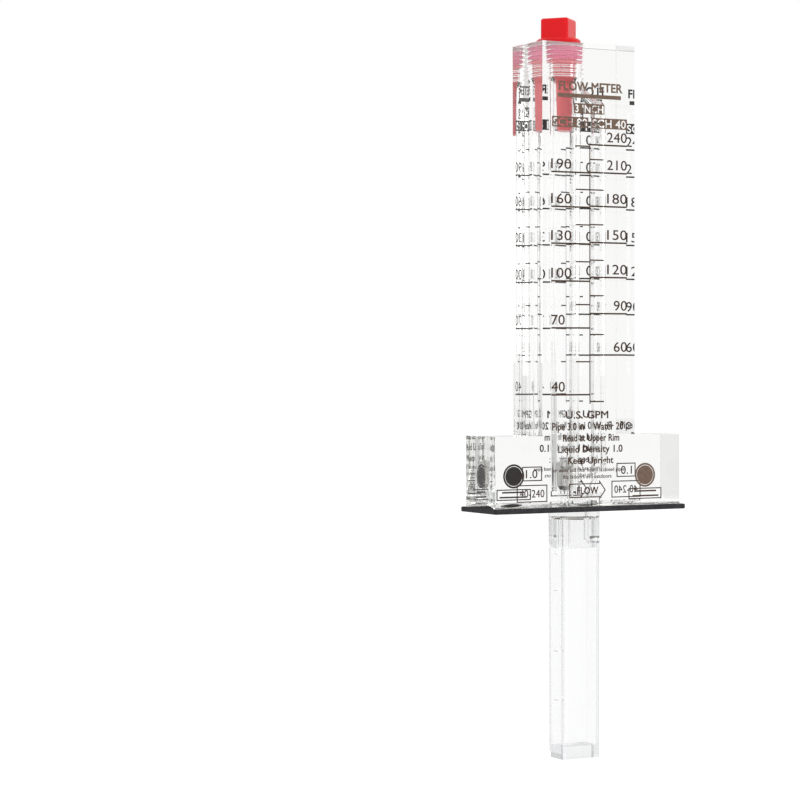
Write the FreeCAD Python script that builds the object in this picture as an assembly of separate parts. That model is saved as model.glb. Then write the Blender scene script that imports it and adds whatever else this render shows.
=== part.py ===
import FreeCAD, Part
import math
import os

# Clear flow meter with a pitot tube, clamped on the wall of a 3 inch pipe. Millimetres.
# The origin is the middle of the gasket's underside, where the meter sits on the pipe.
# +X is the way the liquid flows, +Z points away from the pipe, and the scale is read from -Y.

# Clear body: a column on a wider base, one block
COLUMN_WIDTH = 34.0
COLUMN_TOP = 146.0
BODY_DEPTH = 18.0
BASE_LENGTH = 68.0
BASE_TOP = 23.8
BODY_EDGE = 0.12
SADDLE_RADIUS = 24.1
SADDLE_LAND = 0.5

# Foam gasket between the base and the pipe
GASKET_THICKNESS = 1.6
GASKET_END_OVERHANG = 1.0
GASKET_SIDE_OVERHANG = 1.8
GASKET_HOLE_GAP = 0.2

# Threaded port in the column's top, with the metering bore under it
BORE_OFFSET = 5.6
PORT_DEPTH = 12.0
THREAD_MAJOR = 13.9
THREAD_PITCH = 1.41
THREAD_DEPTH = 0.8
THREAD_FLAT = 0.18
PORT_TAPER = 1.0 / 32.0
BORE_TOP_DIAMETER = 11.5
BORE_BOTTOM_DIAMETER = 9.6
BORE_FLOOR = 0.8

# Return channel, and the passages that join it to the bore and to the adapter
RETURN_OFFSET = 6.8
RETURN_DIAMETER = 5.2
RETURN_TOP = 126.5
RETURN_BOTTOM = 12.0
CROSSOVER_DIAMETER = 3.4
CROSSOVER_START = 136.0
PASSAGE_DIAMETER = 2.2
PASSAGE_OFFSET = 3.6
PASSAGE_OVERRUN = 0.5

# Socket in the base for the adapter, which is bonded in: the two share a thin skin
SOCKET_WALL = 1.5
SOCKET_TOP = 5.5
BOND_BITE = 0.02

# Red plug with its float stop
PLUG_HEAD_WIDTH = 9.0
PLUG_HEAD_HEIGHT = 6.4
PLUG_HEAD_EDGE = 0.8
PLUG_HEAD_TURN = 40.0
PLUG_FLANGE_DIAMETER = 14.0
PLUG_FLANGE_THICKNESS = 1.4
PLUG_FLANGE_GAP = 0.4
PLUG_FLANGE_EDGE = 0.5
PLUG_THREAD_GRIP = 0.12
PLUG_TAPER = 0.0531
PLUG_CREST_CUT = 0.4
STEM_TOP_DIAMETER = 8.8
STEM_TIP_DIAMETER = 7.5
STEM_TIP = 119.0

# Float
FLOAT_DIAMETER = 9.3
FLOAT_BODY_DIAMETER = 7.8
FLOAT_NOSE_DIAMETER = 5.0
FLOAT_LENGTH = 8.8
FLOAT_RIM = 1.2
FLOAT_SKIRT = 1.2
FLOAT_DIMPLE = 2.4
FLOAT_END_GAP = 0.3

# Pitot tube, drawn in a little towards its closed end
TUBE_REACH = 78.0
TUBE_LENGTH_X = 14.2
TUBE_LENGTH_Y = 9.6
TUBE_DRAFT = 0.3
TUBE_WALL = 1.3
TUBE_FLOOR = 3.9
TUBE_CORNER = 1.3
TUBE_LEAST_CORNER = 0.2
SLOT_WIDTH = 3.4
SLOT_HEIGHT = 0.8
SLOT_HEIGHTS = (-13.3, -24.8, -43.9, -59.3)
RETURN_PORT_DIAMETER = 2.2
RETURN_PORT_HEIGHT = -9.4

# Adapter between the tube and the body
COLLAR_LIP = 0.6
COLLAR_DROP = 2.6
COLLAR_EDGE = 0.4
INSERT_BOTTOM = -11.8

# Print on the front face and on the rear face
INK_PROUD = 0.06
INK_BITE = 0.02
LINE_WIDTH = 0.34
MAJOR_WIDTH = 0.5
MINOR_WIDTH = 0.42
SCALE_AXIS = 0.3
REAR_SCALE_SHIFT = -0.85
SCALE_BOTTOM = 33.6
SCALE_TOP = 114.5
MAJOR_RIGHT = 13.7
MAJOR_LEFT = 14.1
MINOR_LENGTH = 5.15
RIGHT_MAJORS = (1.0, 0.893, 0.763, 0.623, 0.489, 0.349, 0.189)
RIGHT_MINORS = (0.943, 0.826, 0.692, 0.555, 0.418, 0.268, 0.009)
LEFT_MAJORS = (0.891, 0.758, 0.617, 0.473, 0.293, 0.036)
LEFT_MINORS = (0.993, 0.826, 0.690, 0.548, 0.383, 0.163)
LABEL_BOX_WIDTH = 13.2
LABEL_BOX_HEIGHT = 3.3
LABEL_BOX_GAP = 1.1
LABEL_BOX_RISE = 5.1
SIZE_BOX_WIDTH = 11.1
SIZE_BOX_HEIGHT = 3.2
SIZE_BOX_SHIFT = -0.2
SIZE_BOX_RISE = 9.5
ARROW_TAIL = -7.3
ARROW_SHOULDER = 3.7
ARROW_TIP = 6.1
ARROW_MIDDLE = 6.6
ARROW_HEIGHT = 4.5
ARROW_HEAD_HEIGHT = 6.3
MARK_END_GAP = 13.2
ROUND_MARK_HEIGHT = 11.0
ROUND_MARK_DIAMETER = 7.6
SMALL_FIELD_SIZE = (7.2, 4.5)
SMALL_FIELD_MIDDLE = 12.2
LARGE_FIELD_SIZE = (11.0, 5.4)
LARGE_FIELD_MIDDLE = 6.1
MARK_FIELD_SIZE = (12.4, 3.5)
MARK_FIELD_MIDDLE = 5.2

# Worked out from the sizes above
BORE_X = -BORE_OFFSET
BASE_BOTTOM = GASKET_THICKNESS
BORE_TOP = COLUMN_TOP - PORT_DEPTH
BORE_BOTTOM = SOCKET_TOP + BORE_FLOOR
FLOAT_BOTTOM = BORE_BOTTOM + FLOAT_END_GAP
FLOAT_TOP = FLOAT_BOTTOM + FLOAT_LENGTH
SOCKET_DIAMETER = BODY_DEPTH - 2 * SOCKET_WALL
COLLAR_DIAMETER = SOCKET_DIAMETER + 2 * COLLAR_LIP
COLLAR_BOTTOM = -COLLAR_DROP
MARK_OFFSET = BASE_LENGTH / 2.0 - MARK_END_GAP
OVERRUN = 2.0
X_AXIS = FreeCAD.Vector(1, 0, 0)
Y_AXIS = FreeCAD.Vector(0, 1, 0)
Z_AXIS = FreeCAD.Vector(0, 0, 1)


def box(x_range, y_range, z_range):
    """Block between two values on each axis."""
    lows = [min(pair) for pair in (x_range, y_range, z_range)]
    sides = [abs(pair[1] - pair[0]) for pair in (x_range, y_range, z_range)]
    return Part.makeBox(sides[0], sides[1], sides[2], FreeCAD.Vector(*lows))


def upright_cylinder(diameter, bottom, top, x=0.0):
    return Part.makeCylinder(diameter / 2.0, top - bottom, FreeCAD.Vector(x, 0, bottom), Z_AXIS)


def drilled(diameter, start, end, overrun):
    """Straight drilling between two points (x, z) in the middle plane, a little longer at each end."""
    first = FreeCAD.Vector(start[0], 0, start[1])
    last = FreeCAD.Vector(end[0], 0, end[1])
    way = last - first
    way.normalize()
    first = first - way * overrun
    length = (last - first).Length + overrun
    return Part.makeCylinder(diameter / 2.0, length, first, way)


def turned(outline, x):
    """Solid of revolution about the upright axis at x, from points (radius, height)."""
    points = [FreeCAD.Vector(x + radius, 0, height) for radius, height in outline]
    face = Part.Face(Part.makePolygon(points + [points[0]]))
    return face.revolve(FreeCAD.Vector(x, 0, 0), Z_AXIS, 360.0)


def rounded_bar(size_x, size_y, corner, height):
    """Wire of a rectangle with round corners, level at a height."""
    half_x = size_x / 2.0
    half_y = size_y / 2.0
    plate = Part.makeBox(size_x, size_y, 1.0, FreeCAD.Vector(-half_x, -half_y, height))
    upright = [edge for edge in plate.Edges if abs(edge.tangentAt(edge.FirstParameter).z) > 0.9]
    rounded = plate.makeFillet(corner, upright)
    bottom = min(rounded.Faces, key=lambda face: face.CenterOfMass.z)
    return bottom.OuterWire


def thread_outline(mouth_radius, taper, cut=0.0):
    """Points (radius, height) down a tapered thread that runs out at the bore's top, its crests cut back."""
    turns = int(PORT_DEPTH // THREAD_PITCH)
    flank = (THREAD_PITCH - THREAD_FLAT) / 2.0 - THREAD_FLAT
    widest = THREAD_FLAT + flank * (1.0 - cut / THREAD_DEPTH)
    steps = (
        (THREAD_DEPTH, 0.0),
        (THREAD_DEPTH, THREAD_FLAT),
        (cut, widest),
        (cut, THREAD_PITCH - widest),
        (THREAD_DEPTH, THREAD_PITCH - THREAD_FLAT),
    )
    points = []
    for turn in range(turns):
        for inward, down in steps:
            height = COLUMN_TOP - turn * THREAD_PITCH - down
            points.append((mouth_radius - taper * (COLUMN_TOP - height) - inward, height))
    points[-1] = (mouth_radius - taper * PORT_DEPTH - THREAD_DEPTH, BORE_TOP)
    return points


def body_outline():
    """The clear block before anything is drilled, with its curved saddle underneath."""
    half_column = COLUMN_WIDTH / 2.0
    half_base = BASE_LENGTH / 2.0
    corners = (
        (-half_base, BASE_BOTTOM),
        (half_base, BASE_BOTTOM),
        (half_base, BASE_TOP),
        (half_column, BASE_TOP),
        (half_column, COLUMN_TOP),
        (-half_column, COLUMN_TOP),
        (-half_column, BASE_TOP),
        (-half_base, BASE_TOP),
    )
    points = [FreeCAD.Vector(x, -BODY_DEPTH / 2.0, z) for x, z in corners]
    block = Part.Face(Part.makePolygon(points + [points[0]])).extrude(Y_AXIS * BODY_DEPTH)
    block = block.makeFillet(BODY_EDGE, block.Edges)
    half_arch = BODY_DEPTH / 2.0 - SADDLE_LAND
    centre = BASE_BOTTOM - math.sqrt(SADDLE_RADIUS ** 2 - half_arch ** 2)
    start = FreeCAD.Vector(-half_base - OVERRUN, 0, centre)
    return block.cut(Part.makeCylinder(SADDLE_RADIUS, BASE_LENGTH + 2 * OVERRUN, start, X_AXIS))


def bore_radius(height):
    """Radius of the tapered metering bore at a height."""
    share = (height - BORE_BOTTOM) / (BORE_TOP - BORE_BOTTOM)
    return (BORE_BOTTOM_DIAMETER + share * (BORE_TOP_DIAMETER - BORE_BOTTOM_DIAMETER)) / 2.0


def port_and_bore():
    """The space inside: thread and tapered bore down to its level floor."""
    outline = [(0.0, COLUMN_TOP + OVERRUN), (THREAD_MAJOR / 2.0 - THREAD_DEPTH, COLUMN_TOP + OVERRUN)]
    outline += thread_outline(THREAD_MAJOR / 2.0, PORT_TAPER)
    outline += [
        (bore_radius(BORE_TOP), BORE_TOP),
        (bore_radius(BORE_BOTTOM), BORE_BOTTOM),
        (0.0, BORE_BOTTOM),
    ]
    return turned(outline, BORE_X)


def meter_body():
    body = body_outline().cut(port_and_bore())
    body = body.cut(upright_cylinder(RETURN_DIAMETER, RETURN_BOTTOM, RETURN_TOP, RETURN_OFFSET))
    top_end = Part.makeSphere(RETURN_DIAMETER / 2.0, FreeCAD.Vector(RETURN_OFFSET, 0, RETURN_TOP))
    body = body.cut(top_end)
    body = body.cut(drilled(CROSSOVER_DIAMETER, (BORE_X, CROSSOVER_START), (RETURN_OFFSET, RETURN_TOP), 0.0))
    inlet_top = (-PASSAGE_OFFSET, BORE_BOTTOM)
    return_end = (RETURN_OFFSET, RETURN_BOTTOM)
    for top, side in ((inlet_top, -PASSAGE_OFFSET), (return_end, PASSAGE_OFFSET)):
        body = body.cut(drilled(PASSAGE_DIAMETER, top, (side, SOCKET_TOP), PASSAGE_OVERRUN))
    return body.cut(upright_cylinder(SOCKET_DIAMETER, -OVERRUN, SOCKET_TOP))


def gasket():
    length = BASE_LENGTH + 2 * GASKET_END_OVERHANG
    width = BODY_DEPTH + 2 * GASKET_SIDE_OVERHANG
    pad = box((-length / 2.0, length / 2.0), (-width / 2.0, width / 2.0), (0.0, GASKET_THICKNESS))
    hole = COLLAR_DIAMETER + 2 * GASKET_HOLE_GAP
    return pad.cut(upright_cylinder(hole, -OVERRUN, GASKET_THICKNESS + OVERRUN))


def plug_head():
    """Square head with rounded edges, turned to where the plug came tight."""
    half = PLUG_HEAD_WIDTH / 2.0
    bottom = COLUMN_TOP + PLUG_FLANGE_GAP + PLUG_FLANGE_THICKNESS
    head = box((-half, half), (-half, half), (bottom - PLUG_FLANGE_EDGE, bottom + PLUG_HEAD_HEIGHT))
    lifted = [edge for edge in head.Edges if edge.CenterOfMass.z > bottom]
    head = head.makeFillet(PLUG_HEAD_EDGE, lifted)
    head.rotate(FreeCAD.Vector(0, 0, 0), Z_AXIS, PLUG_HEAD_TURN)
    head.translate(FreeCAD.Vector(BORE_X, 0, 0))
    return head


def top_plug():
    flange_bottom = COLUMN_TOP + PLUG_FLANGE_GAP
    flange_top = flange_bottom + PLUG_FLANGE_THICKNESS
    flange = PLUG_FLANGE_DIAMETER / 2.0
    thread = THREAD_MAJOR / 2.0 + PLUG_THREAD_GRIP
    outline = [
        (0.0, flange_top),
        (flange - PLUG_FLANGE_EDGE, flange_top),
        (flange, flange_top - PLUG_FLANGE_EDGE),
        (flange, flange_bottom),
        (thread - THREAD_DEPTH, flange_bottom),
    ]
    outline += thread_outline(thread, PLUG_TAPER, PLUG_CREST_CUT)
    outline += [
        (STEM_TOP_DIAMETER / 2.0, BORE_TOP),
        (STEM_TIP_DIAMETER / 2.0, STEM_TIP),
        (0.0, STEM_TIP),
    ]
    return turned(outline, BORE_X).fuse(plug_head()).removeSplitter()


def float_piece():
    """Turned float: a sharp reading rim on top, a slimmer body and a blunt nose."""
    rim = FLOAT_DIAMETER / 2.0
    body = FLOAT_BODY_DIAMETER / 2.0
    nose = FLOAT_NOSE_DIAMETER / 2.0
    outline = [
        (0.0, FLOAT_BOTTOM),
        (nose, FLOAT_BOTTOM),
        (body, FLOAT_BOTTOM + body - nose),
        (body, FLOAT_TOP - FLOAT_RIM - FLOAT_SKIRT),
        (rim, FLOAT_TOP - FLOAT_RIM),
        (rim, FLOAT_TOP),
        (FLOAT_DIMPLE, FLOAT_TOP),
        (0.0, FLOAT_TOP - FLOAT_DIMPLE / 2.0),
    ]
    return turned(outline, BORE_X)


def adapter_passages():
    """Upstream passage straight down to the tube, return passage down and out on the downstream side."""
    top = SOCKET_TOP + OVERRUN
    upstream = upright_cylinder(PASSAGE_DIAMETER, INSERT_BOTTOM - OVERRUN, top, -PASSAGE_OFFSET)
    downstream = upright_cylinder(PASSAGE_DIAMETER, RETURN_PORT_HEIGHT, top, PASSAGE_OFFSET)
    start = FreeCAD.Vector(PASSAGE_OFFSET, 0, RETURN_PORT_HEIGHT)
    side = Part.makeCylinder(RETURN_PORT_DIAMETER / 2.0, TUBE_LENGTH_X, start, X_AXIS)
    return upstream.fuse([downstream, side])


def tube_size(height, inset):
    """Length and width of the tube's section at a height, drawn in by an inset all round."""
    share = (COLLAR_BOTTOM - height) / (TUBE_REACH - COLLAR_DROP)
    shrink = TUBE_DRAFT * share + 2 * inset
    return TUBE_LENGTH_X - shrink, TUBE_LENGTH_Y - shrink


def tube_loft(bottom, top, inset):
    """Slightly drafted rectangular bar between two heights."""
    wires = []
    for height in (bottom, top):
        size_x, size_y = tube_size(height, inset)
        wires.append(rounded_bar(size_x, size_y, max(TUBE_CORNER - inset, TUBE_LEAST_CORNER), height))
    return Part.makeLoft(wires, True, True)


def pitot_adapter():
    collar = upright_cylinder(COLLAR_DIAMETER, COLLAR_BOTTOM, SOCKET_TOP)
    lower_edge = [edge for edge in collar.Edges if abs(edge.CenterOfMass.z - COLLAR_BOTTOM) < 0.01]
    collar = collar.makeChamfer(COLLAR_EDGE, lower_edge)
    collar = collar.cut(body_outline())
    collar = min(collar.Solids, key=lambda solid: solid.CenterOfMass.z)
    spigot_diameter = SOCKET_DIAMETER + 2 * BOND_BITE
    spigot = upright_cylinder(spigot_diameter, COLLAR_BOTTOM + COLLAR_EDGE, SOCKET_TOP + BOND_BITE)
    insert = tube_loft(INSERT_BOTTOM, COLLAR_BOTTOM, TUBE_WALL - BOND_BITE)
    return collar.fuse([spigot, insert]).cut(adapter_passages())


def pressure_slots():
    """Short level slots in the upstream wall."""
    slots = []
    for height in SLOT_HEIGHTS:
        size_x, _ = tube_size(height, 0.0)
        outer = -size_x / 2.0
        wide = (-SLOT_WIDTH / 2.0, SLOT_WIDTH / 2.0)
        tall = (height - SLOT_HEIGHT / 2.0, height + SLOT_HEIGHT / 2.0)
        slots.append(box((outer - OVERRUN, outer + TUBE_WALL + SLOT_HEIGHT), wide, tall))
    return slots


def pitot_tube():
    outer = tube_loft(-TUBE_REACH, COLLAR_BOTTOM, 0.0)
    inner = tube_loft(-TUBE_REACH + TUBE_FLOOR, COLLAR_BOTTOM, TUBE_WALL)
    start = FreeCAD.Vector(0, 0, RETURN_PORT_HEIGHT)
    port = Part.makeCylinder(RETURN_PORT_DIAMETER / 2.0, TUBE_LENGTH_X, start, X_AXIS)
    return outer.cut([inner, port] + pressure_slots())


def ink(x_range, z_range, rear=False):
    """Printed rectangle on the front face, or on the rear face."""
    face = BODY_DEPTH / 2.0
    y_range = (face - INK_BITE, face + INK_PROUD) if rear else (-face - INK_PROUD, -face + INK_BITE)
    return box(x_range, y_range, z_range)


def ink_outline(middle_x, middle_z, size, rear):
    """Printed frame of a rectangle."""
    half_x = size[0] / 2.0
    half_z = size[1] / 2.0
    outer = ink((middle_x - half_x, middle_x + half_x), (middle_z - half_z, middle_z + half_z), rear)
    half_x -= LINE_WIDTH
    half_z -= LINE_WIDTH
    inner = ink((middle_x - half_x, middle_x + half_x), (middle_z - half_z, middle_z + half_z), rear)
    return outer.cut(inner)


def scale_axis(rear):
    """Place of the scale's upright line. The rear scale lies behind the front one, a little upstream."""
    return SCALE_AXIS + REAR_SCALE_SHIFT if rear else SCALE_AXIS


def tick(share, reach, width, rear):
    """Level line from the scale's upright line to one side, at a share of the scale's height."""
    height = SCALE_BOTTOM + share * (SCALE_TOP - SCALE_BOTTOM)
    axis = scale_axis(rear)
    return ink((axis, axis + reach), (height - width / 2.0, height + width / 2.0), rear)


def scale_lines(rear):
    """Upright line with its ticks."""
    axis = scale_axis(rear)
    stem = ink((axis - LINE_WIDTH / 2.0, axis + LINE_WIDTH / 2.0), (SCALE_BOTTOM, SCALE_TOP), rear)
    lines = [tick(share, MAJOR_RIGHT, MAJOR_WIDTH, rear) for share in RIGHT_MAJORS]
    lines += [tick(share, MINOR_LENGTH, MINOR_WIDTH, rear) for share in RIGHT_MINORS]
    lines += [tick(share, -MAJOR_LEFT, MAJOR_WIDTH, rear) for share in LEFT_MAJORS]
    lines += [tick(share, -MINOR_LENGTH, MINOR_WIDTH, rear) for share in LEFT_MINORS]
    return stem.fuse(lines).removeSplitter()


def label_boxes(rear):
    """Two filled boxes over the two sides of the scale, and a third above them for the pipe size."""
    axis = scale_axis(rear)
    band = (SCALE_TOP + LABEL_BOX_RISE, SCALE_TOP + LABEL_BOX_RISE + LABEL_BOX_HEIGHT)
    inner = LABEL_BOX_GAP / 2.0
    left = ink((axis - inner - LABEL_BOX_WIDTH, axis - inner), band, rear)
    right = ink((axis + inner, axis + inner + LABEL_BOX_WIDTH), band, rear)
    middle = axis + SIZE_BOX_SHIFT
    band = (SCALE_TOP + SIZE_BOX_RISE, SCALE_TOP + SIZE_BOX_RISE + SIZE_BOX_HEIGHT)
    upper = ink((middle - SIZE_BOX_WIDTH / 2.0, middle + SIZE_BOX_WIDTH / 2.0), band, rear)
    return Part.makeCompound([left, right, upper])


def arrow_points(inset):
    """Outline (x, height) of the flow arrow, every edge drawn in by the inset."""
    slope = ARROW_HEAD_HEIGHT / 2.0 / (ARROW_TIP - ARROW_SHOULDER)
    half = ARROW_HEIGHT / 2.0 - inset
    tail = ARROW_TAIL + inset
    shoulder = ARROW_SHOULDER + inset
    tip = ARROW_TIP - inset * math.sqrt(1.0 + slope ** 2) / slope
    half_head = (tip - shoulder) * slope
    return (
        (tail, ARROW_MIDDLE - half),
        (shoulder, ARROW_MIDDLE - half),
        (shoulder, ARROW_MIDDLE - half_head),
        (tip, ARROW_MIDDLE),
        (shoulder, ARROW_MIDDLE + half_head),
        (shoulder, ARROW_MIDDLE + half),
        (tail, ARROW_MIDDLE + half),
    )


def arrow_sheet(inset, rear):
    face = BODY_DEPTH / 2.0
    start = face - INK_BITE if rear else -face - INK_PROUD
    points = [FreeCAD.Vector(x, start, z) for x, z in arrow_points(inset)]
    sheet = Part.Face(Part.makePolygon(points + [points[0]]))
    return sheet.extrude(Y_AXIS * (INK_PROUD + INK_BITE))


def flow_arrow(rear):
    """Outlined arrow. It points downstream on both faces."""
    return arrow_sheet(0.0, rear).cut(arrow_sheet(LINE_WIDTH, rear))


def side_of(rear):
    """The round mark is to the reader's right, so it changes sides on the rear face."""
    return -1.0 if rear else 1.0


def round_mark(rear):
    face = BODY_DEPTH / 2.0
    start = face - INK_BITE if rear else -face - INK_PROUD
    middle = FreeCAD.Vector(side_of(rear) * MARK_OFFSET, start, ROUND_MARK_HEIGHT)
    return Part.makeCylinder(ROUND_MARK_DIAMETER / 2.0, INK_PROUD + INK_BITE, middle, Y_AXIS)


def field_frames(rear):
    """Three printed frames: two to the reader's left and one under the round mark."""
    left = -side_of(rear) * MARK_OFFSET
    right = side_of(rear) * MARK_OFFSET
    return Part.makeCompound([
        ink_outline(left, SMALL_FIELD_MIDDLE, SMALL_FIELD_SIZE, rear),
        ink_outline(left, LARGE_FIELD_MIDDLE, LARGE_FIELD_SIZE, rear),
        ink_outline(right, MARK_FIELD_MIDDLE, MARK_FIELD_SIZE, rear),
    ])


def all_pieces():
    pieces = {
        "meter_body": meter_body(),
        "gasket": gasket(),
        "top_plug": top_plug(),
        "float": float_piece(),
        "pitot_tube": pitot_tube(),
        "pitot_adapter": pitot_adapter(),
    }
    for face_name, rear in (("front", False), ("rear", True)):
        pieces[face_name + "_scale_lines"] = scale_lines(rear)
        pieces[face_name + "_label_boxes"] = label_boxes(rear)
        pieces[face_name + "_flow_arrow"] = flow_arrow(rear)
        pieces[face_name + "_round_mark"] = round_mark(rear)
        pieces[face_name + "_field_frames"] = field_frames(rear)
    return pieces


os.makedirs("parts", exist_ok=True)
for name, shape in all_pieces().items():
    shape.exportStep("parts/" + name + ".step")
    size = shape.BoundBox
    print(
        f"{name:20s} solids {len(shape.Solids)} valid {shape.isValid()} volume {shape.Volume:.1f}"
        f" x {size.XMin:.1f} {size.XMax:.1f} y {size.YMin:.1f} {size.YMax:.1f}"
        f" z {size.ZMin:.1f} {size.ZMax:.1f}"
    )
print(f"float travel {STEM_TIP - FLOAT_END_GAP - FLOAT_TOP:.2f}")
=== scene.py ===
import math

import bmesh
import bpy
from mathutils import Matrix, Quaternion, Vector


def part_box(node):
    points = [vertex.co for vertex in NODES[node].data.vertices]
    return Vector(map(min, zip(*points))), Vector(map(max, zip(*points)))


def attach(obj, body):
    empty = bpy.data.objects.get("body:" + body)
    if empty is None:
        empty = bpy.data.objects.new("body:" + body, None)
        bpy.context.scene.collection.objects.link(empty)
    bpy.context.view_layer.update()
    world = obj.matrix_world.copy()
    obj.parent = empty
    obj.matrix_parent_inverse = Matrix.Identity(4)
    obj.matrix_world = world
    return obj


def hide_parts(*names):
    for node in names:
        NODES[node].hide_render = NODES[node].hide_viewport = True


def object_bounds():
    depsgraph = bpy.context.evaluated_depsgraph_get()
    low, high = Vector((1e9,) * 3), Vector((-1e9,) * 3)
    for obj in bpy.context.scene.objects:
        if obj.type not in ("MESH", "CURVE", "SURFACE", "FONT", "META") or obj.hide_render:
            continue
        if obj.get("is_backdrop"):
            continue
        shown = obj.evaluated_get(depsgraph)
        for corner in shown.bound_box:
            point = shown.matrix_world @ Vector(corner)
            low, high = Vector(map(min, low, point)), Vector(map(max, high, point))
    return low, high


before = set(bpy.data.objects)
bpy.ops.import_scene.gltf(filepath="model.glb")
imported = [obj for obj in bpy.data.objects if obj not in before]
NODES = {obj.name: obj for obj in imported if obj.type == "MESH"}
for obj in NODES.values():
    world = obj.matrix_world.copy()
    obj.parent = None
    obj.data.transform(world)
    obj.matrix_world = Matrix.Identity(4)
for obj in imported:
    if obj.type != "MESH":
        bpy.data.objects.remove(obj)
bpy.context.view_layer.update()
MM = 0.001

# Camera at the photograph's viewing angle: place in metres, lens in millimetres
CAMERA_PLACE = (-0.41511, -0.66617, 0.04603)
CAMERA_HEADING = math.radians(27.921)
CAMERA_PITCH = math.radians(-0.820)
CAMERA_ROLL = math.radians(-0.10)
CAMERA_LENS = 111.69

# Print, in millimetres. A reader's x runs the way the words run.
MAJOR_WIDTH = 0.5
NUMBER_HEIGHT = 3.1
NUMBER_RISE = 1.0
DIGIT_STRETCH = 1.12
# Each number of a scale with its share of the scale's height
RIGHT_SCALE = (
    (240, 1.0), (210, 0.893), (180, 0.763), (150, 0.623), (120, 0.489), (90, 0.349), (60, 0.189),
)
LEFT_SCALE = (
    (190, 0.891), (160, 0.758), (130, 0.617), (100, 0.473), (70, 0.293), (40, 0.036),
)
LABEL_BOX_HEIGHT = 3.3
LABEL_BOX_WIDTH = 13.2
SIZE_BOX_HEIGHT = 3.2
SIZE_BOX_WIDTH = 11.1
SIZE_BOX_SHIFT = -0.2
BOX_LETTER_MARGIN = 0.45
# Each line of text: words, left end, right end, base, height of its capitals
TITLE = ("FLOW METER", -10.9, 12.2, 131.1, 2.7)
ROWS = (
    ("U.S. GPM", -8.5, 7.0, 29.1, 2.3),
    ("Pipe 3.0 in    Water 20 C", -13.5, 15.3, 25.5, 2.3),
    ("Read at Upper Rim", -9.5, 11.1, 22.0, 2.2),
    ("Liquid Density 1.0", -11.3, 12.3, 18.5, 2.2),
    ("Keep Upright", -7.7, 8.9, 15.0, 2.1),
)
FINE_ROWS = (
    ("for water and clear liquids in closed pipes", -13.5, 13.0, 12.5, 1.2),
    ("fits indoors and outdoors", -9.5, 8.2, 10.4, 1.2),
)
ARROW_WORD = ("FLOW", -4.4, 3.3, 5.5, 2.2)
SMALL_FRAME_WORD = ("1.0", -23.0, -18.9, 10.9, 2.6)
LARGE_FRAME_WORD = ("40-240", -25.2, -16.4, 4.9, 2.4)
# Each bar: left end, right end, bottom, top
TITLE_BAR = (-11.3, 11.7, 129.0, 130.0)
FINE_BARS = ((-25.0, -17.0, 5.7, 6.2), (-25.9, -16.1, 4.2, 4.7))
# Open ring in the round mark: its two radii
RING_OUTER = 3.2
RING_INNER = 3.02
CIRCLE_STEPS = 72
CURVE_STEPS = 5
# How far the ink is grown past its outlines, and how far open letters are
WORD_WEIGHT = 0.06
NUMBER_WEIGHT = 0.02
TITLE_WEIGHT = 0.11
OPEN_LETTER_WEIGHT = 0.07
# Letters: spacing between them, and the height of a capital in a font of size one
LETTER_SPACING = 1.03
FONT_CAP_HEIGHT = 0.7

# Foam gasket, in millimetres
FOAM_EDGE = 0.35
FOAM_EDGE_STEPS = 3
FOAM_PLAY = 0.1
FOAM_HOLE_GAP = 0.2
FOAM_STEP = 0.8
# Waves of its cut edge: rate, size, phase
FOAM_WAVES = ((0.9, 0.10, 0.3), (2.3, 0.05, 1.7), (0.31, 0.09, 2.2))
# A face is flat, and not part of the rounded edge, where its normal stands this upright
FOAM_FLAT_NORMAL = 0.98

# Floor, lamps and world, in metres and watts
FLOOR_DROP = 0.05
FLOOR_SIZE = 12.0
FLOOR_GREY = 0.82
LAMPS = (("key", (-0.9, -1.3, 1.1), 14.0), ("fill", (1.3, -0.9, 0.6), 8.0))
LAMP_SIZE = 1.2
LAMP_AIM = (0.0, 0.0, 0.04)
WORLD_LIGHT = 0.75
CLEAR_BOUNCES = 32
DIFFUSE_BOUNCES = 4
PLASTIC_IOR = 1.49
# Sides of the world that mirrored and bent rays find darker: direction, where the dimming starts
# and ends as a cosine to it, and the level that it falls to
DARK_SIDES = (
    ((-0.53, -0.85, 0.0), -0.3, 0.6, 0.78),
    ((0.0, 0.0, 1.0), 0.3, 0.9, 0.7),
)
# Light of the floor's own, which brings it to white. Camera rays get all of it, and mirrored and
# bent rays a share that grows with the distance towards a heading.
FLOOR_GLOW = 0.45
GLOW_HEADING = math.radians(50.0)
GLOW_SHARES = ((-0.4, 0.0), (0.32, 0.56), (1.9, 0.87))

# Plug: colours by height in millimetres, from the stem's tip upwards, each passing into the next
# Below the head the colours are painted paler and pinker: painted light that brightens the stem and thread
# inside the clear block, up to a nearly white band just under the head
PLUG_RED = (0.70, 0.003, 0.007)
PLUG_COLOURS_WITH_PAINTED_LIGHT = (
    (119.0, (1.0, 0.16, 0.18)),
    (135.2, (1.0, 0.16, 0.18)),
    (135.5, (1.0, 0.27, 0.29)),
    (140.4, (1.0, 0.31, 0.34)),
    (140.8, (1.0, 0.35, 0.49)),
    (144.8, (1.0, 0.42, 0.56)),
    (145.3, (1.0, 0.86, 0.88)),
    (145.9, (1.0, 0.86, 0.88)),
    (146.1, PLUG_RED),
)


def new_material(name):
    material = bpy.data.materials.new(name)
    material.use_nodes = True
    return material, material.node_tree.nodes, material.node_tree.links


def principled(nodes):
    return nodes["Principled BSDF"]


def object_noise(nodes, links, scale, detail=4.0, roughness=0.55):
    """Noise texture in the object's own coordinates."""
    place = nodes.new("ShaderNodeTexCoord")
    noise = nodes.new("ShaderNodeTexNoise")
    noise.inputs["Scale"].default_value = scale
    noise.inputs["Detail"].default_value = detail
    noise.inputs["Roughness"].default_value = roughness
    links.new(place.outputs["Object"], noise.inputs["Vector"])
    return noise.outputs["Fac"]


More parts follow.
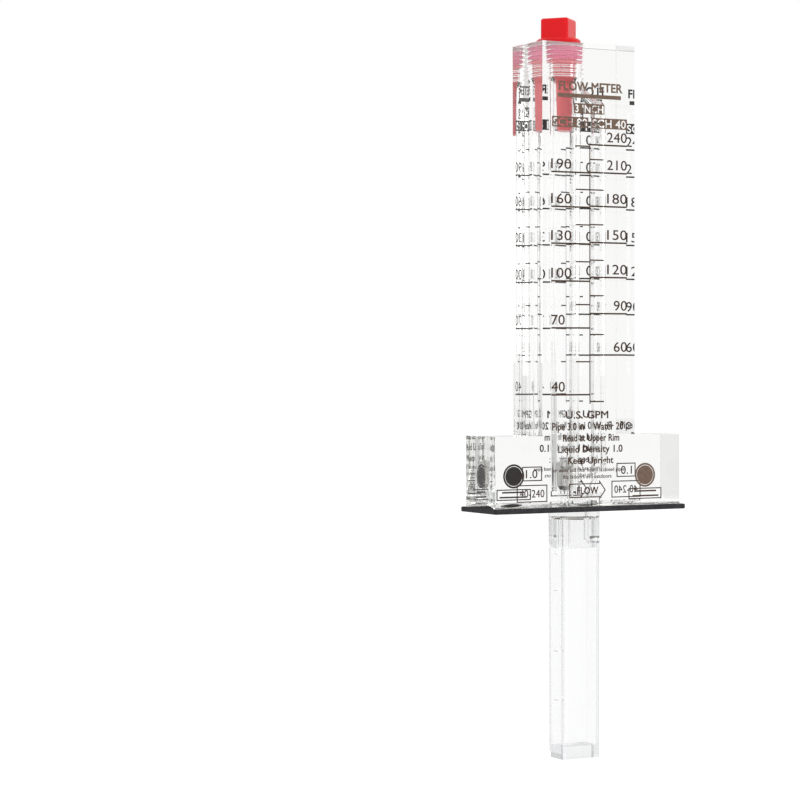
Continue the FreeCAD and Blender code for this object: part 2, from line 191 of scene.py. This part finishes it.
def ramp(nodes, links, factor, stops):
    """Colour ramp with stops (position, colour)."""
    node = nodes.new("ShaderNodeValToRGB")
    elements = node.color_ramp.elements
    while len(elements) < len(stops):
        elements.new(0.5)
    for element, (position, colour) in zip(elements, stops):
        element.position = position
        element.color = (*colour, 1.0)
    links.new(factor, node.inputs["Fac"])
    return node.outputs["Color"]


def add_bump(nodes, links, shader, height, distance):
    bump = nodes.new("ShaderNodeBump")
    bump.inputs["Distance"].default_value = distance
    bump.inputs["Strength"].default_value = 1.0
    links.new(height, bump.inputs["Height"])
    links.new(bump.outputs["Normal"], shader.inputs["Normal"])


def calculate(nodes, links, operation, first, second):
    """Result of one sum on two values, each a socket or a number."""
    node = nodes.new("ShaderNodeMath")
    node.operation = operation
    for entry, value in zip(node.inputs, (first, second)):
        if isinstance(value, float):
            entry.default_value = value
        else:
            links.new(value, entry)
    return node.outputs[0]


def reach_towards(nodes, links, coordinates, direction):
    """How far the texture coordinates of the given kind reach in a direction."""
    place = nodes.new("ShaderNodeTexCoord")
    dot = nodes.new("ShaderNodeVectorMath")
    dot.operation = "DOT_PRODUCT"
    dot.inputs[1].default_value = direction
    links.new(place.outputs[coordinates], dot.inputs[0])
    return dot.outputs["Value"]


def clear_plastic(name, colour, roughness, taken, density):
    """Clear plastic that takes a little light on the way through."""
    material, nodes, links = new_material(name)
    shader = principled(nodes)
    shader.inputs["Base Color"].default_value = (*colour, 1.0)
    shader.inputs["Roughness"].default_value = roughness
    shader.inputs["IOR"].default_value = PLASTIC_IOR
    shader.inputs["Transmission Weight"].default_value = 1.0
    depth = nodes.new("ShaderNodeVolumeAbsorption")
    depth.inputs["Color"].default_value = (*taken, 1.0)
    depth.inputs["Density"].default_value = density
    links.new(depth.outputs["Volume"], nodes["Material Output"].inputs["Volume"])
    return material


def moulded_red(name):
    """Red plastic, painted paler down the thread and the stem: painted light that brightens them inside the
    clear block.
    """
    material, nodes, links = new_material(name)
    shader = principled(nodes)
    place = nodes.new("ShaderNodeTexCoord")
    parts = nodes.new("ShaderNodeSeparateXYZ")
    links.new(place.outputs["Object"], parts.inputs[0])
    tip = PLUG_COLOURS_WITH_PAINTED_LIGHT[0][0]
    reach = PLUG_COLOURS_WITH_PAINTED_LIGHT[-1][0] - tip
    rise = nodes.new("ShaderNodeMapRange")
    rise.inputs["From Min"].default_value = tip * MM
    rise.inputs["From Max"].default_value = (tip + reach) * MM
    links.new(parts.outputs["Z"], rise.inputs["Value"])
    stops = [((height - tip) / reach, colour) for height, colour in PLUG_COLOURS_WITH_PAINTED_LIGHT]
    colour = ramp(nodes, links, rise.outputs["Result"], stops)
    links.new(colour, shader.inputs["Base Color"])
    shader.inputs["Roughness"].default_value = 0.3
    shader.inputs["Specular IOR Level"].default_value = 0.3
    grain = object_noise(nodes, links, 2400.0)
    add_bump(nodes, links, shader, grain, 0.00003)
    return material


def printed_ink(name, dark, light):
    material, nodes, links = new_material(name)
    shader = principled(nodes)
    mottle = object_noise(nodes, links, 900.0, 6.0, 0.7)
    colour = ramp(nodes, links, mottle, ((0.35, dark), (0.65, light)))
    links.new(colour, shader.inputs["Base Color"])
    shader.inputs["Roughness"].default_value = 0.5
    shader.inputs["Specular IOR Level"].default_value = 0.3
    return material


def foam(name):
    material, nodes, links = new_material(name)
    shader = principled(nodes)
    clouds = object_noise(nodes, links, 500.0, 6.0)
    colour = ramp(nodes, links, clouds, ((0.3, (0.014, 0.014, 0.016)), (0.7, (0.034, 0.034, 0.038))))
    links.new(colour, shader.inputs["Base Color"])
    shader.inputs["Roughness"].default_value = 0.9
    cells = object_noise(nodes, links, 3200.0, 3.0)
    add_bump(nodes, links, shader, cells, 0.00012)
    return material


def turned_steel(name):
    material, nodes, links = new_material(name)
    shader = principled(nodes)
    shader.inputs["Metallic"].default_value = 1.0
    shader.inputs["Base Color"].default_value = (0.62, 0.61, 0.59, 1.0)
    place = nodes.new("ShaderNodeTexCoord")
    rings = nodes.new("ShaderNodeTexWave")
    rings.bands_direction = "Z"
    rings.inputs["Scale"].default_value = 1800.0
    rings.inputs["Distortion"].default_value = 2.0
    links.new(place.outputs["Object"], rings.inputs["Vector"])
    tone = ramp(nodes, links, rings.outputs["Fac"], ((0.0, (0.24, 0.24, 0.24)), (1.0, (0.36, 0.36, 0.36))))
    links.new(tone, shader.inputs["Roughness"])
    add_bump(nodes, links, shader, rings.outputs["Fac"], 0.000012)
    return material


def new_piece(name, mesh, material, body="meter"):
    mesh.name = name
    mesh.materials.clear()
    mesh.materials.append(material)
    piece = bpy.data.objects.new(name, mesh)
    bpy.context.scene.collection.objects.link(piece)
    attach(piece, body)
    return piece


def flat_curve(name, half_thickness):
    curve = bpy.data.curves.new(name, "CURVE")
    curve.dimensions = "2D"
    curve.fill_mode = "BOTH"
    curve.extrude = half_thickness
    curve.resolution_u = CURVE_STEPS
    return curve


def add_outline(curve, points):
    """Closed outline through points (x, y)."""
    spline = curve.splines.new("POLY")
    spline.points.add(len(points) - 1)
    for point, (x, y) in zip(spline.points, points):
        point.co = (x, y, 0.0, 1.0)
    spline.use_cyclic_u = True


def add_rectangle(curve, left, right, bottom, top):
    corners = ((left, bottom), (right, bottom), (right, top), (left, top))
    add_outline(curve, [(x * MM, y * MM) for x, y in corners])


def add_circle(curve, x, y, radius):
    turns = [2.0 * math.pi * step / CIRCLE_STEPS for step in range(CIRCLE_STEPS)]
    add_outline(curve, [((x + radius * math.cos(a)) * MM, (y + radius * math.sin(a)) * MM) for a in turns])


def letter_outlines(text):
    """Splines of one line of text at a size of one unit, with its left end and its right end."""
    line = bpy.data.curves.new("line", "FONT")
    line.body = text
    line.space_character = LETTER_SPACING
    holder = bpy.data.objects.new("line", line)
    bpy.context.scene.collection.objects.link(holder)
    bpy.context.view_layer.update()
    lengths = [corner[0] for corner in holder.bound_box]
    for other in bpy.context.selected_objects:
        other.select_set(False)
    holder.select_set(True)
    bpy.context.view_layer.objects.active = holder
    bpy.ops.object.convert(target="CURVE")
    return holder, min(lengths), max(lengths)


def add_line(curve, text, left, right, base, height):
    """One line of text whose letters fill the space from left to right and stand on base."""
    holder, start, end = letter_outlines(text)
    across = (right - left) / (end - start) * MM
    up = height / FONT_CAP_HEIGHT * MM
    for source in holder.data.splines:
        spline = curve.splines.new("BEZIER")
        spline.bezier_points.add(len(source.bezier_points) - 1)
        spline.use_cyclic_u = True
        for point, old in zip(spline.bezier_points, source.bezier_points):
            point.handle_left_type = "FREE"
            point.handle_right_type = "FREE"
            for name in ("co", "handle_left", "handle_right"):
                x, y, _ = getattr(old, name)
                setattr(point, name, ((x - start) * across + left * MM, y * up + base * MM, 0.0))
    bpy.data.objects.remove(holder)


def curve_mesh(curve):
    """Closed mesh of a filled and extruded curve."""
    holder = bpy.data.objects.new(curve.name, curve)
    bpy.context.scene.collection.objects.link(holder)
    bpy.context.view_layer.update()
    mesh = bpy.data.meshes.new_from_object(holder.evaluated_get(bpy.context.evaluated_depsgraph_get()))
    bpy.data.objects.remove(holder)
    work = bmesh.new()
    work.from_mesh(mesh)
    bmesh.ops.remove_doubles(work, verts=work.verts, dist=1e-7)
    bmesh.ops.recalc_face_normals(work, faces=work.faces)
    work.to_mesh(mesh)
    work.free()
    return mesh


def face_name(rear):
    return "rear" if rear else "front"


def printed_piece(name, rear, draw, palette, weight=0.0):
    """Thin ink layer on the front or the rear face. draw(curve) adds its outlines in the reader's frame,
    and the weight, in millimetres, makes all that is inked wider."""
    low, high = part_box(face_name(rear) + "_scale_lines")
    curve = flat_curve(name, (high.y - low.y) / 2.0)
    curve.offset = weight * MM
    draw(curve)
    mesh = curve_mesh(curve)
    side = -1.0 if rear else 1.0
    across = Vector((side, 0.0, 0.0))
    outward = Vector((0.0, -side, 0.0))
    turn = Matrix((across, Vector((0.0, 0.0, 1.0)), outward)).transposed().to_4x4()
    mesh.transform(Matrix.Translation((0.0, (low.y + high.y) / 2.0, 0.0)) @ turn)
    piece = new_piece(face_name(rear) + "_" + name, mesh, palette[face_name(rear)])
    return piece


def in_place(line, rear):
    """The same words on the rear face lie behind the front ones, so the reader's x is reversed."""
    text, left, right, base, height = line
    return (text, -right, -left, base, height) if rear else line


def draw_numbers(curve, rear):
    low, high = (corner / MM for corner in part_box(face_name(rear) + "_scale_lines"))
    scale_top = high.z - MAJOR_WIDTH / 2.0
    holder, start, end = letter_outlines("000")
    bpy.data.objects.remove(holder)
    digit = (end - start) / 3.0 * DIGIT_STRETCH * NUMBER_HEIGHT / FONT_CAP_HEIGHT
    for rows, at_left in ((LEFT_SCALE, True), (RIGHT_SCALE, False)):
        for value, share in rows:
            width = digit * len(str(value))
            left = low.x if at_left else high.x - width
            base = low.z + share * (scale_top - low.z) + NUMBER_RISE
            line = (str(value), left, left + width, base, NUMBER_HEIGHT)
            add_line(curve, *in_place(line, rear))
    for line in FINE_ROWS:
        add_line(curve, *in_place(line, rear))
    add_line(curve, *SMALL_FRAME_WORD)
    add_line(curve, *LARGE_FRAME_WORD)


def draw_words(curve, rear):
    for line in ROWS + (ARROW_WORD,):
        add_line(curve, *in_place(line, rear))


def draw_title(curve, rear):
    """Title over a plain bar."""
    add_line(curve, *in_place(TITLE, rear))
    left, right, bottom, top = TITLE_BAR
    if rear:
        left, right = -right, -left
    add_rectangle(curve, left, right, bottom, top)


def draw_boxes(curve, rear):
    """Filled boxes with their letters left open."""
    low, high = (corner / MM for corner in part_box(face_name(rear) + "_label_boxes"))
    middle = (low.x + high.x) / 2.0 + SIZE_BOX_SHIFT
    boxes = (
        ("SCH 80", low.x, low.x + LABEL_BOX_WIDTH, low.z, LABEL_BOX_HEIGHT),
        ("SCH 40", high.x - LABEL_BOX_WIDTH, high.x, low.z, LABEL_BOX_HEIGHT),
        ("3 INCH", middle - SIZE_BOX_WIDTH / 2.0, middle + SIZE_BOX_WIDTH / 2.0,
         high.z - SIZE_BOX_HEIGHT, SIZE_BOX_HEIGHT),
    )
    for box in boxes:
        text, left, right, bottom, height = in_place(box, rear)
        edge = OPEN_LETTER_WEIGHT
        add_rectangle(curve, left - edge, right + edge, bottom - edge, bottom + height + edge)
        margin = BOX_LETTER_MARGIN
        add_line(curve, text, left + margin, right - margin, bottom + margin, height - 2 * margin)


def draw_disc(curve, rear):
    """Filled disc with a fine open ring."""
    low, high = (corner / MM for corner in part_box(face_name(rear) + "_round_mark"))
    x = (low.x + high.x) / 2.0 * (-1.0 if rear else 1.0)
    z = (low.z + high.z) / 2.0
    for radius in ((high.x - low.x) / 2.0, RING_OUTER, RING_INNER):
        add_circle(curve, x, z, radius)


def draw_fine_bars(curve):
    for left, right, bottom, top in FINE_BARS:
        add_rectangle(curve, -right, -left, bottom, top)


def foam_outline(half_x, half_y):
    """Points round a die-cut edge that wanders a little."""
    corners = ((-half_x, -half_y), (half_x, -half_y), (half_x, half_y), (-half_x, half_y))
    points = []
    walked = 0.0
    for index, start in enumerate(corners):
        end = corners[(index + 1) % 4]
        length = math.dist(start, end)
        steps = int(length / FOAM_STEP)
        inward = Vector((start[1] - end[1], end[0] - start[0])).normalized()
        for step in range(steps):
            along = step / steps
            place = Vector(start).lerp(Vector(end), along)
            wander = sum(size * (1 + math.sin(rate * (walked + length * along) + phase)) / 2
                         for rate, size, phase in FOAM_WAVES)
            points.append((place + inward * wander) * MM)
        walked += length
    return points


def foam_gasket(material):
    low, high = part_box("gasket")
    collar_low, collar_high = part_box("pitot_adapter")
    hole = (collar_high.x - collar_low.x) / 2.0 / MM + FOAM_HOLE_GAP
    half_x = high.x / MM - FOAM_EDGE - FOAM_PLAY
    half_y = high.y / MM - FOAM_EDGE - FOAM_PLAY
    curve = flat_curve("foam", (high.z - low.z) / 2.0 - FOAM_EDGE * MM)
    curve.bevel_depth = FOAM_EDGE * MM
    curve.bevel_resolution = FOAM_EDGE_STEPS
    add_outline(curve, foam_outline(half_x, half_y))
    add_circle(curve, 0.0, 0.0, hole + FOAM_EDGE)
    mesh = curve_mesh(curve)
    mesh.transform(Matrix.Translation((0.0, 0.0, (low.z + high.z) / 2.0)))
    piece = new_piece("foam_gasket", mesh, material)
    for face in mesh.polygons:
        face.use_smooth = abs(face.normal.z) < FOAM_FLAT_NORMAL
    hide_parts("gasket")


def camera_rays(nodes):
    """1 for rays from the camera, 0 for all others."""
    return nodes.new("ShaderNodeLightPath").outputs["Is Camera Ray"]


def white_where_seen(nodes, links):
    """1 for rays from the camera and for mirrored and bent rays, 0 for the rays that light things."""
    path = nodes.new("ShaderNodeLightPath")
    total = path.outputs["Is Camera Ray"]
    for name in ("Is Glossy Ray", "Is Transmission Ray"):
        total = calculate(nodes, links, "MAXIMUM", total, path.outputs[name])
    return total


def glow_share(nodes, links):
    """All of the floor's glow for camera rays, and for mirrored and bent rays a share by distance."""
    heading = (math.sin(GLOW_HEADING), math.cos(GLOW_HEADING), 0.0)
    near, far = GLOW_SHARES[0][0], GLOW_SHARES[-1][0]
    along = nodes.new("ShaderNodeMapRange")
    along.inputs["From Min"].default_value = near
    along.inputs["From Max"].default_value = far
    links.new(reach_towards(nodes, links, "Object", heading), along.inputs["Value"])
    stops = [((distance - near) / (far - near), (share, share, share)) for distance, share in GLOW_SHARES]
    fade = ramp(nodes, links, along.outputs["Result"], stops)
    bent = calculate(nodes, links, "MULTIPLY", white_where_seen(nodes, links), fade)
    return calculate(nodes, links, "MAXIMUM", bent, camera_rays(nodes))


def pale_floor():
    low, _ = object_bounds()
    bpy.ops.mesh.primitive_plane_add(size=FLOOR_SIZE, location=(0.0, 0.0, low.z - FLOOR_DROP))
    floor = bpy.context.object
    floor.name = "floor"
    material, nodes, links = new_material("pale_floor")
    shader = principled(nodes)
    shader.inputs["Base Color"].default_value = (FLOOR_GREY, FLOOR_GREY, FLOOR_GREY, 1.0)
    shader.inputs["Roughness"].default_value = 0.9
    shader.inputs["Specular IOR Level"].default_value = 0.0
    glow = nodes.new("ShaderNodeEmission")
    strength = calculate(nodes, links, "MULTIPLY", glow_share(nodes, links), FLOOR_GLOW)
    links.new(strength, glow.inputs["Strength"])
    both = nodes.new("ShaderNodeAddShader")
    links.new(shader.outputs[0], both.inputs[0])
    links.new(glow.outputs[0], both.inputs[1])
    links.new(both.outputs[0], nodes["Material Output"].inputs["Surface"])
    floor.data.materials.append(material)
    floor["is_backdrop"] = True


def darker_towards(nodes, links, direction, start, end, level):
    """Brightness that falls to a level round a direction."""
    dim = nodes.new("ShaderNodeMapRange")
    dim.interpolation_type = "SMOOTHSTEP"
    dim.inputs["From Min"].default_value = start
    dim.inputs["From Max"].default_value = end
    dim.inputs["To Min"].default_value = 1.0
    dim.inputs["To Max"].default_value = level
    towards = reach_towards(nodes, links, "Generated", Vector(direction).normalized())
    links.new(towards, dim.inputs["Value"])
    return dim.outputs["Result"]


def white_world():
    """White all round for what the light falls on. Clear and glossy pieces find some sides of it darker."""
    world = bpy.data.worlds.new("studio")
    bpy.context.scene.world = world
    world.use_nodes = True
    nodes, links = world.node_tree.nodes, world.node_tree.links
    light = nodes["Background"]
    light.inputs["Color"].default_value = (1.0, 1.0, 1.0, 1.0)
    light.inputs["Strength"].default_value = WORLD_LIGHT
    seen = nodes.new("ShaderNodeBackground")
    seen.inputs["Color"].default_value = (1.0, 1.0, 1.0, 1.0)
    level = darker_towards(nodes, links, *DARK_SIDES[0])
    for side in DARK_SIDES[1:]:
        level = calculate(nodes, links, "MINIMUM", level, darker_towards(nodes, links, *side))
    strength = calculate(nodes, links, "MAXIMUM", level, camera_rays(nodes))
    links.new(strength, seen.inputs["Strength"])
    mix = nodes.new("ShaderNodeMixShader")
    links.new(white_where_seen(nodes, links), mix.inputs[0])
    links.new(light.outputs[0], mix.inputs[1])
    links.new(seen.outputs[0], mix.inputs[2])
    links.new(mix.outputs[0], nodes["World Output"].inputs["Surface"])


def soft_lamp(name, place, watts):
    lamp = bpy.data.lights.new(name, "AREA")
    lamp.shape = "SQUARE"
    lamp.size = LAMP_SIZE
    lamp.energy = watts
    holder = bpy.data.objects.new(name, lamp)
    holder.location = place
    holder.rotation_mode = "QUATERNION"
    holder.rotation_quaternion = (Vector(LAMP_AIM) - Vector(place)).to_track_quat("-Z", "Y")
    holder.visible_camera = False
    holder.visible_glossy = False
    bpy.context.scene.collection.objects.link(holder)


def photo_camera():
    data = bpy.data.cameras.new("camera")
    data.lens = CAMERA_LENS
    data.clip_start = 0.02
    data.clip_end = 50.0
    camera = bpy.data.objects.new("camera", data)
    ahead = Vector((
        math.sin(CAMERA_HEADING) * math.cos(CAMERA_PITCH),
        math.cos(CAMERA_HEADING) * math.cos(CAMERA_PITCH),
        math.sin(CAMERA_PITCH),
    ))
    camera.location = CAMERA_PLACE
    camera.rotation_mode = "QUATERNION"
    camera.rotation_quaternion = ahead.to_track_quat("-Z", "Y") @ Quaternion((0.0, 0.0, 1.0), CAMERA_ROLL)
    bpy.context.scene.collection.objects.link(camera)
    bpy.context.scene.camera = camera


def give(node, material):
    """The CAD solid of a node gets a material."""
    mesh = NODES[node].data
    mesh.materials.clear()
    mesh.materials.append(material)


inks = {
    "front": printed_ink("front_print", (0.032, 0.013, 0.005), (0.056, 0.026, 0.011)),
    # The rear ink is the front ink painted darker: painted shade for the print seen through the block
    "rear": printed_ink("rear_print_painted_shade", (0.012, 0.006, 0.004), (0.022, 0.012, 0.008)),
}
filled_inks = {
    "front": printed_ink("front_filled_print", (0.115, 0.072, 0.05), (0.165, 0.108, 0.078)),
    "rear": inks["rear"],
}
acrylic = clear_plastic("acrylic_block", (1.0, 1.0, 1.0), 0.0, (0.89, 0.9, 0.87), 20.0)
tube_plastic = clear_plastic("moulded_tube", (0.99, 0.99, 0.99), 0.03, (0.70, 0.72, 0.73), 46.0)
adapter_plastic = clear_plastic("moulded_adapter", (0.99, 0.99, 0.99), 0.03, (0.72, 0.73, 0.72), 32.0)
give("meter_body", acrylic)
give("pitot_tube", tube_plastic)
give("pitot_adapter", adapter_plastic)
give("top_plug", moulded_red("red_plug"))
give("float", turned_steel("turned_float"))
foam_gasket(foam("closed_cell_foam"))

for rear in (False, True):
    ink = inks[face_name(rear)]
    for mark in ("scale_lines", "flow_arrow", "field_frames"):
        give(face_name(rear) + "_" + mark, ink)
    printed_piece("numbers", rear, lambda curve: draw_numbers(curve, rear), inks, NUMBER_WEIGHT)
    printed_piece("words", rear, lambda curve: draw_words(curve, rear), inks, WORD_WEIGHT)
    printed_piece("title", rear, lambda curve: draw_title(curve, rear), filled_inks, TITLE_WEIGHT)
    printed_piece("fine_bars", rear, draw_fine_bars, inks)
    boxes = printed_piece(
        "lettered_boxes", rear, lambda curve: draw_boxes(curve, rear), filled_inks, -OPEN_LETTER_WEIGHT
    )
    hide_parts(face_name(rear) + "_label_boxes")
    disc = printed_piece("ringed_disc", rear, lambda curve: draw_disc(curve, rear), filled_inks)
    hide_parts(face_name(rear) + "_round_mark")

pale_floor()
white_world()
for lamp in LAMPS:
    soft_lamp(*lamp)
photo_camera()

scene = bpy.context.scene
scene.view_settings.view_transform = "Standard"
scene.cycles.max_bounces = CLEAR_BOUNCES
scene.cycles.glossy_bounces = CLEAR_BOUNCES
scene.cycles.transmission_bounces = CLEAR_BOUNCES
scene.cycles.diffuse_bounces = DIFFUSE_BOUNCES
